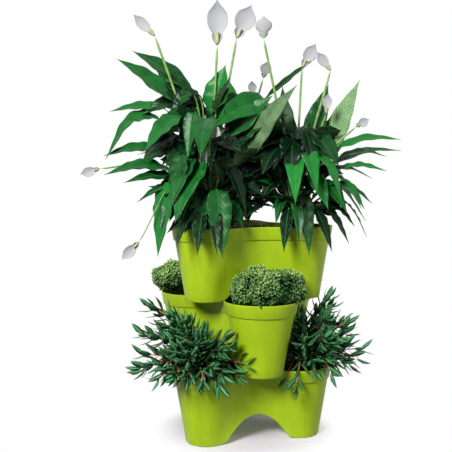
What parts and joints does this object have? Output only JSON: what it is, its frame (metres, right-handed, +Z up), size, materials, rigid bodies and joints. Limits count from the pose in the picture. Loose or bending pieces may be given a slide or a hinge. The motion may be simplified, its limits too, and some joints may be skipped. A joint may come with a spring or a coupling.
{
  "type": "planter tower",
  "caption": "Tower of three stacked three-lobed planting pots, each turned a sixth of a turn, with peace lilies, low cushions and leafy shrubs growing from the lobes.",
  "frame": {"origin": "on the floor, on the tower's vertical axis", "axes": "+Z up along the tower, -Y towards the front lobe of the middle pot, +X to the right seen from the front"},
  "size_m": [0.7301, 0.5071, 0.9477],
  "materials": {
    "pot": "satin lime green polypropylene",
    "compost": "damp dark potting compost",
    "lily_leaf": "glossy deep green leaf",
    "petal": "matt white petal",
    "stonecrop_leaf": "matt pale green leaf",
    "shrub_leaf": "glossy dark green leaf"
  },
  "bodies": {
    "bottom_tier": {"bottom_pot": "pot", "bottom_compost": "compost", "shrub_back": "shrub_leaf", "shrub_left": "shrub_leaf", "shrub_right": "shrub_leaf"},
    "middle_tier": {"middle_pot": "pot", "middle_compost": "compost", "stonecrop_left": "stonecrop_leaf", "stonecrop_front": "stonecrop_leaf", "stonecrop_right": "stonecrop_leaf"},
    "top_tier": {"top_pot": "pot", "top_compost": "compost", "peace_lily_left": "lily_leaf", "peace_lily_left_flower_1": "petal", "peace_lily_left_flower_2": "petal", "peace_lily_left_flower_3": "petal", "peace_lily_left_flower_4": "petal", "peace_lily_left_flower_5": "petal", "peace_lily_left_flower_6": "petal", "peace_lily_right": "lily_leaf", "peace_lily_right_flower_1": "petal", "peace_lily_right_flower_2": "petal", "peace_lily_right_flower_3": "petal", "peace_lily_right_flower_4": "petal", "peace_lily_right_flower_5": "petal", "peace_lily_back": "lily_leaf", "peace_lily_back_flower_1": "petal", "peace_lily_back_flower_2": "petal"}
  },
  "joints": [
    {"name": "middle_lift", "type": "slide", "parent": "bottom_tier", "child": "middle_tier", "axis": [0, 0, 1], "range_m": [0, 0.18]},
    {"name": "top_lift", "type": "slide", "parent": "middle_tier", "child": "top_tier", "axis": [0, 0, 1], "range_m": [0, 0.12]}
  ]
}
